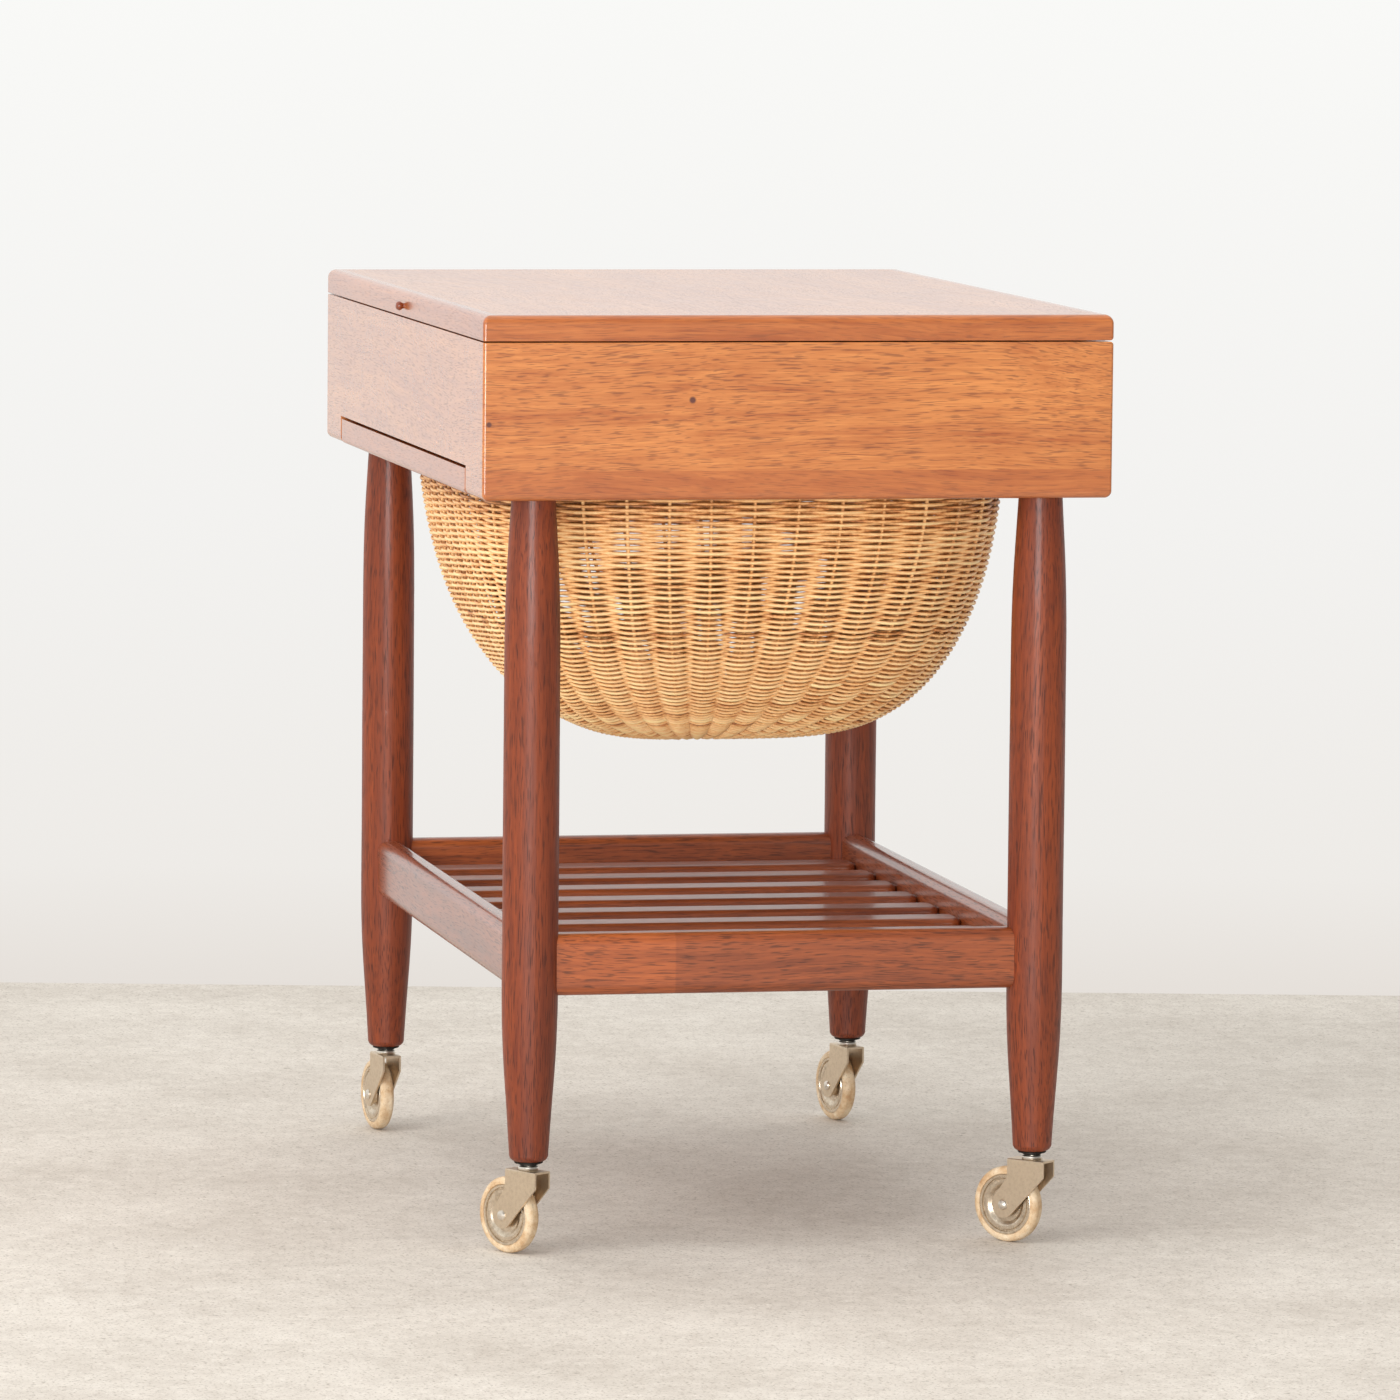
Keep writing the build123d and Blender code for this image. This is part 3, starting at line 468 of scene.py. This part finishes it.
TOTAL = down[-1]
S0 = -3.6
row_s = np.arange(S0, TOTAL - 3.0, PITCH)
ROWS = len(row_s)
COUNT = 288
wob = wander(COUNT, ROWS, (1, 2, 3, 5, 8, 13, 17), rng)
wob = (wob + 0.6 * np.roll(wob, 1, axis=0)) * 0.5
rad = 1.23 + 0.03 * rng.normal(size=ROWS)
tone_row = 0.89 + 0.11 * rng.normal(size=ROWS)
tone_wave = wander(COUNT, ROWS, (1, 2, 4, 7), rng)

pieces = []
bands = [Tubes() for _ in range(4)]
cuts = [int(ROWS * k / 4) for k in range(5)]
for i, s in enumerate(row_s):
    per = perimeter(max(s, 0))
    K = STAKES
    if per < 300:
        K = STAKES // 2
    if per < 170:
        K = STAKES // 4
    count = 6 * K if K == STAKES else 8 * K
    u = np.arange(count) / count
    src = np.interp(u, np.arange(COUNT + 1) / COUNT, np.append(wob[i], wob[i][0]))
    tw = np.interp(u, np.arange(COUNT + 1) / COUNT, np.append(tone_wave[i], tone_wave[i][0]))
    edge = min(1.0, (i + 2) / 8.0)
    ss = s + 0.20 * edge * src
    p, n = on_form(np.maximum(ss, 0), u + PHASE / STAKES)
    over = np.minimum(ss, 0)
    p[:, 2] -= over                       # straight up above the fitted rim line
    flip = 1.0 if i % 2 else -1.0
    amp = float(np.interp(s, [0, 40, 95, 150, 200], [1.5, 1.45, 2.2, 2.2, 2.1]))
    if K != STAKES:
        amp = 1.9 if per > 170 else 1.5
    w = np.cos(np.pi * K * u)
    w = np.sign(w) * np.abs(w) ** 0.9
    centre = p + n * (flip * amp * w)[:, None]
    t = np.roll(centre, -1, axis=0) - np.roll(centre, 1, axis=0)
    t /= np.linalg.norm(t, axis=1, keepdims=True)
    side = n - t * (n * t).sum(axis=1, keepdims=True)
    side /= np.linalg.norm(side, axis=1, keepdims=True)
    up = np.cross(t, side)
    band = next(k for k in range(4) if i < cuts[k + 1] or k == 3)
    # top rows darker: painted shadow from the case above, partly the strands' own darker stain
    bands[band].add(centre, side, up, rad[i] * (1 + 0.04 * tw),
                    tone_row[i] + 0.12 * tw - 0.46 * min(1.0, max(0.0, (29.0 - s) / 15.0)), True, flat=0.88,
                    depth=flip * w)
for k, b in enumerate(bands):
    pieces.append(b.build("basket_weft_" + "abcd"[k], mats["cane_weft"]))

stakes = Tubes()
for k in range(STAKES):
    end = TOTAL - 1.0 if k % 4 == 0 else (TOTAL - 14.0 if k % 2 == 0 else None)
    if end is None:
        end = float(np.interp(-425.0, -np.array(table_len), down))
    s = np.linspace(S0, end, 76)
    lean = 0.02 * np.sin(s / 37.0 + k * 1.7) + 0.015 * rng.normal()
    u = (k + lean + PHASE) / STAKES
    p, n = on_form(np.maximum(s, 0), u)
    p[:, 2] -= np.minimum(s, 0)
    t = np.gradient(p, axis=0)
    t /= np.linalg.norm(t, axis=1, keepdims=True)
    side = n - t * (n * t).sum(axis=1, keepdims=True)
    side /= np.linalg.norm(side, axis=1, keepdims=True)
    up = np.cross(t, side)
    stakes.add(p, side, up, 1.3, 0.42 + 0.1 * rng.normal(), False, sides=8)
pieces.append(stakes.build("basket_stakes", mats["cane_stake"]))
for o in pieces:
    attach(o, "basket_frame")
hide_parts("basket")

# ------------------------------------------------------------ floor and light
g = Graph("PaleFloor")
p = g.coords()
n1 = g.noise(g.scaled(p, (5, 5, 5)), 1.0, 4.0, 0.6)
n2 = g.noise(g.scaled(p, (60, 60, 60)), 1.0, 5.0, 0.7)
n3 = g.noise(g.scaled(p, (420, 420, 420)), 1.0, 2.0, 0.6)
t = g.math("ADD", g.math("MULTIPLY", n1, 0.5), g.math("MULTIPLY", n2, 0.5))
c = g.ramp(g.map(t, 0.35, 0.65, 0.0, 1.0), [(0.0, srgb(196, 187, 176)), (1.0, srgb(226, 219, 209))])
n4 = g.noise(g.scaled(p, (190, 190, 190)), 1.0, 3.0, 0.7)
c = g.mix(g.map(n3, 0.57, 0.66, 0.0, 0.6), c, srgb(146, 134, 120))
c = g.mix(g.map(n4, 0.60, 0.68, 0.0, 0.6), c, srgb(138, 126, 114))
c = g.mix(g.map(n4, 0.36, 0.30, 0.0, 0.6), c, srgb(244, 240, 234))
g.surface(Base_Color=c, Roughness=0.75, Normal=g.bump(n3, 0.15, 0.0006))
floor_mat = g.m

CAM = Vector((5.7594, -1.1940, 0.9040))
FWD = Vector((-0.97458, 0.20216, -0.09657)).normalized()
RIGHT = Vector((0.2030, 0.9792, 0.0)).normalized()
UP = RIGHT.cross(FWD).normalized()
ahead = Vector((FWD.x, FWD.y, 0)).normalized()
base = Vector((CAM.x, CAM.y, 0))
back = base + ahead * 6.92
front = base - ahead * 4.0
me = bpy.data.meshes.new("floor")
corners = [front - RIGHT * 12, front + RIGHT * 12, back + RIGHT * 12, back - RIGHT * 12]
me.from_pydata([tuple(v) for v in corners], [], [(0, 1, 2, 3)])
me.materials.append(floor_mat)
floor = bpy.data.objects.new("floor", me)
scene.collection.objects.link(floor)


def area(name, at, target, size, power, colour=(1, 1, 1)):
    l = bpy.data.lights.new(name, "AREA")
    l.shape = "RECTANGLE"
    l.size, l.size_y = size
    l.energy = power
    l.color = colour
    o = bpy.data.objects.new(name, l)
    scene.collection.objects.link(o)
    o.location = at
    o.rotation_mode = "QUATERNION"
    o.rotation_quaternion = (Vector(target) - Vector(at)).to_track_quat("-Z", "Y")
    o.visible_glossy = name == "low"
    return o


world = bpy.data.worlds.new("studio")
scene.world = world
world.use_nodes = True
wt = world.node_tree
bg = wt.nodes["Background"]
wc = wt.nodes.new("ShaderNodeTexCoord")
ws = wt.nodes.new("ShaderNodeSeparateXYZ")
wr = wt.nodes.new("ShaderNodeValToRGB")
wt.links.new(wc.outputs["Generated"], ws.inputs[0])
wm = wt.nodes.new("ShaderNodeMapRange")
wm.inputs[1].default_value, wm.inputs[2].default_value = -0.135, -0.015
wt.links.new(ws.outputs[2], wm.inputs[0])
wt.links.new(wm.outputs[0], wr.inputs[0])
el = wr.color_ramp.elements
el[0].position, el[0].color = 0.0, (*srgb(226, 219, 212), 1.0)
el[1].position, el[1].color = 1.0, (*srgb(249, 249, 247), 1.0)
e = el.new(0.16)
e.color = (*srgb(238, 235, 231), 1.0)
e = el.new(0.5)
e.color = (*srgb(243, 242, 240), 1.0)
wt.links.new(wr.outputs[0], bg.inputs[0])
wd = wt.nodes.new("ShaderNodeVectorMath")
wd.operation = "DOT_PRODUCT"
wd.inputs[1].default_value = (0.8, 0.6, 0.0)
wt.links.new(wc.outputs["Generated"], wd.inputs[0])
wf = wt.nodes.new("ShaderNodeMapRange")
wf.inputs[1].default_value, wf.inputs[2].default_value = -0.1, 0.6
wf.inputs[3].default_value, wf.inputs[4].default_value = 1.0, 0.34
wt.links.new(wd.outputs["Value"], wf.inputs[0])
wt.links.new(wf.outputs[0], bg.inputs[1])
area("key", (2.9, -3.6, 2.5), (0, 0, 0.35), (3.0, 3.0), 128.0)
area("low", (4.6, -1.5, 0.62), (0, 0, 0.40), (2.0, 1.0), 104.0)
area("ceiling", (0.2, -0.3, 4.2), (0, 0, 0), (4.0, 4.0), 60.0)

# ------------------------------------------------------------------- camera
cam = bpy.data.cameras.new("camera")
cam.sensor_width = 36.0
cam.lens = 8685.0 / 1400.0 * 36.0
cam.clip_start, cam.clip_end = 0.1, 60.0
co = bpy.data.objects.new("camera", cam)
scene.collection.objects.link(co)
roll = 0.0095
r2 = RIGHT * math.cos(roll) + UP * math.sin(roll)
u2 = -RIGHT * math.sin(roll) + UP * math.cos(roll)
rot = Matrix((r2, u2, -FWD)).transposed()
co.matrix_world = Matrix.Translation(CAM) @ rot.to_4x4()
scene.camera = co
scene.view_settings.view_transform = "Standard"
scene.view_settings.look = "None"
